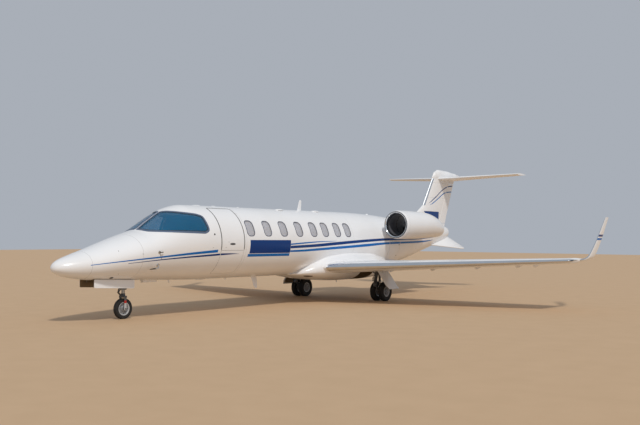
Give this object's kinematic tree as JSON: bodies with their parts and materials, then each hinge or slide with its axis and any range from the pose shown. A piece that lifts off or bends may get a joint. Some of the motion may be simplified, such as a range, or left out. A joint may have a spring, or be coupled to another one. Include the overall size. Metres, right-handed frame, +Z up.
{
  "type": "business jet",
  "caption": "Light business jet with rear-mounted fan engines, a T-tail and winglets, parked on tricycle gear; doors, flight controls, wheels and fans move.",
  "frame": {"origin": "on the ground below the middle of the aeroplane", "axes": "+Z up, -Y towards the nose, +X towards the left wing tip"},
  "size_m": [14.5806, 17.56, 4.3],
  "materials": {
    "white_paint": "gloss white aircraft enamel over aluminium skin",
    "white_composite": "gloss white enamel over composite",
    "polished_metal": "polished bare aluminium",
    "gear_steel": "painted and plated steel",
    "tyre_rubber": "black tyre rubber on grey rims",
    "engine_steel": "heat-stained engine metal",
    "fan_metal": "titanium-coloured fan metal",
    "window_glass": "clear stretched acrylic and glass",
    "dark_trim": "matt dark instrument trim",
    "seat_leather": "soft beige leather",
    "cabin_carpet": "short-pile carpet"
  },
  "bodies": {
    "airframe": {"radome": "white_composite", "nose_section": "white_paint", "cockpit_shell": "white_paint", "entry_frame_shell": "white_paint", "cabin_shell": "white_paint", "aft_fuselage": "white_paint", "tail_cone": "white_paint", "cabin_floor": "cabin_carpet", "instrument_panel": "dark_trim", "wing_fairing": "white_composite", "fin": "white_paint", "stabiliser": "white_paint", "nose_gear_strut": "gear_steel", "pilot_seat": "seat_leather", "copilot_seat": "seat_leather", "left_windshield": "window_glass", "right_windshield": "window_glass", "left_cabin_windows": "window_glass", "right_cabin_windows": "window_glass", "left_cabin_seats": "seat_leather", "right_cabin_seats": "seat_leather", "left_wing": "white_paint", "right_wing": "white_paint", "left_winglet": "white_composite", "right_winglet": "white_composite", "left_ventral_fin": "white_composite", "right_ventral_fin": "white_composite", "left_pylon": "white_paint", "right_pylon": "white_paint", "left_nose_gear_door": "white_composite", "right_nose_gear_door": "white_composite", "left_main_gear_leg": "gear_steel", "right_main_gear_leg": "gear_steel", "left_main_gear_door": "white_composite", "right_main_gear_door": "white_composite", "left_nacelle": "white_composite", "right_nacelle": "white_composite", "left_inlet_lip": "polished_metal", "right_inlet_lip": "polished_metal", "left_engine_core": "engine_steel", "right_engine_core": "engine_steel"},
    "nose_fork": {"nose_gear_fork": "gear_steel"},
    "nose_wheel_body": {"nose_wheel": "tyre_rubber"},
    "upper_door": {"entry_door_upper": "white_paint"},
    "lower_door": {"entry_door_lower": "white_paint"},
    "baggage_hatch": {"baggage_door": "white_paint"},
    "rudder_body": {"rudder": "white_composite"},
    "left_aileron_body": {"left_aileron": "white_composite"},
    "left_flap_body": {"left_flap": "white_composite"},
    "left_spoiler_body": {"left_spoiler": "white_paint"},
    "left_elevator_body": {"left_elevator": "white_composite"},
    "left_fan_body": {"left_fan": "fan_metal"},
    "left_main_wheels_body": {"left_main_wheels": "tyre_rubber"},
    "right_aileron_body": {"right_aileron": "white_composite"},
    "right_flap_body": {"right_flap": "white_composite"},
    "right_spoiler_body": {"right_spoiler": "white_paint"},
    "right_elevator_body": {"right_elevator": "white_composite"},
    "right_fan_body": {"right_fan": "fan_metal"},
    "right_main_wheels_body": {"right_main_wheels": "tyre_rubber"}
  },
  "joints": [
    {"name": "nose_steering", "type": "hinge", "parent": "airframe", "child": "nose_fork", "pos_m": [0, -6.973, 0.6], "axis": [0, 0, 1], "range_deg": [-60, 60]},
    {"name": "nose_wheel_spin", "type": "hinge", "parent": "nose_fork", "child": "nose_wheel_body", "pos_m": [0, -6.973, 0.22579], "axis": [1, 0, 0], "continuous": true},
    {"name": "entry_door_upper_hinge", "type": "hinge", "parent": "airframe", "child": "upper_door", "pos_m": [0.3406, -4.415, 2.4983], "axis": [0, -1, 0], "range_deg": [0, 95]},
    {"name": "entry_door_lower_hinge", "type": "hinge", "parent": "airframe", "child": "lower_door", "pos_m": [0.4847, -4.415, 0.9296], "axis": [0, 1, 0], "range_deg": [0, 100]},
    {"name": "baggage_door_hinge", "type": "hinge", "parent": "airframe", "child": "baggage_hatch", "pos_m": [0.886, 2.556, 1.435], "axis": [0, 0, -1], "range_deg": [0, 100]},
    {"name": "rudder_hinge", "type": "hinge", "parent": "airframe", "child": "rudder_body", "pos_m": [0, 7.4875, 3.075], "axis": [0, 0.4266, 0.9045], "range_deg": [-25, 25]},
    {"name": "left_main_wheel_spin", "type": "hinge", "parent": "airframe", "child": "left_main_wheels_body", "pos_m": [1.456, 1.169, 0.27596], "axis": [1, 0, 0], "continuous": true},
    {"name": "left_fan_spin", "type": "hinge", "parent": "airframe", "child": "left_fan_body", "pos_m": [1.35, 2.76, 2.21], "axis": [0, 1, 0], "continuous": true},
    {"name": "left_aileron_hinge", "type": "hinge", "parent": "airframe", "child": "left_aileron_body", "pos_m": [5.54, 1.7666, 1.2045], "axis": [0.9908, 0.1276, 0.0455], "range_deg": [-20, 20]},
    {"name": "left_flap_hinge", "type": "hinge", "parent": "airframe", "child": "left_flap_body", "pos_m": [2.79, 1.4204, 0.9295], "axis": [-0.9904, -0.1276, -0.054], "range_deg": [0, 40]},
    {"name": "left_spoiler_hinge", "type": "hinge", "parent": "airframe", "child": "left_spoiler_body", "pos_m": [3.25, 1.184, 1.192], "axis": [0.9865, 0.1606, 0.0328], "range_deg": [0, 45]},
    {"name": "left_elevator_hinge", "type": "hinge", "parent": "airframe", "child": "left_elevator_body", "pos_m": [1.365, 8.28735, 4.00735], "axis": [0.9755, 0.214, 0.0517], "range_deg": [-15, 20]},
    {"name": "right_main_wheel_spin", "type": "hinge", "parent": "airframe", "child": "right_main_wheels_body", "pos_m": [-1.456, 1.169, 0.27596], "axis": [1, 0, 0], "continuous": true},
    {"name": "right_fan_spin", "type": "hinge", "parent": "airframe", "child": "right_fan_body", "pos_m": [-1.35, 2.76, 2.21], "axis": [0, 1, 0], "continuous": true},
    {"name": "right_aileron_hinge", "type": "hinge", "parent": "airframe", "child": "right_aileron_body", "pos_m": [-5.54, 1.7666, 1.2045], "axis": [0.9908, -0.1276, -0.0455], "range_deg": [-20, 20]},
    {"name": "right_flap_hinge", "type": "hinge", "parent": "airframe", "child": "right_flap_body", "pos_m": [-2.79, 1.4204, 0.9295], "axis": [-0.9904, 0.1276, 0.054], "range_deg": [0, 40]},
    {"name": "right_spoiler_hinge", "type": "hinge", "parent": "airframe", "child": "right_spoiler_body", "pos_m": [-3.25, 1.184, 1.192], "axis": [0.9865, -0.1606, -0.0328], "range_deg": [0, 45]},
    {"name": "right_elevator_hinge", "type": "hinge", "parent": "airframe", "child": "right_elevator_body", "pos_m": [-1.365, 8.28735, 4.00735], "axis": [0.9755, -0.214, -0.0517], "range_deg": [-15, 20]}
  ],
  "couplings": [
    {"joint": "right_aileron_hinge", "follows": "left_aileron_hinge", "ratio": -1},
    {"joint": "right_flap_hinge", "follows": "left_flap_hinge", "ratio": 1},
    {"joint": "right_spoiler_hinge", "follows": "left_spoiler_hinge", "ratio": 1},
    {"joint": "right_elevator_hinge", "follows": "left_elevator_hinge", "ratio": 1}
  ]
}
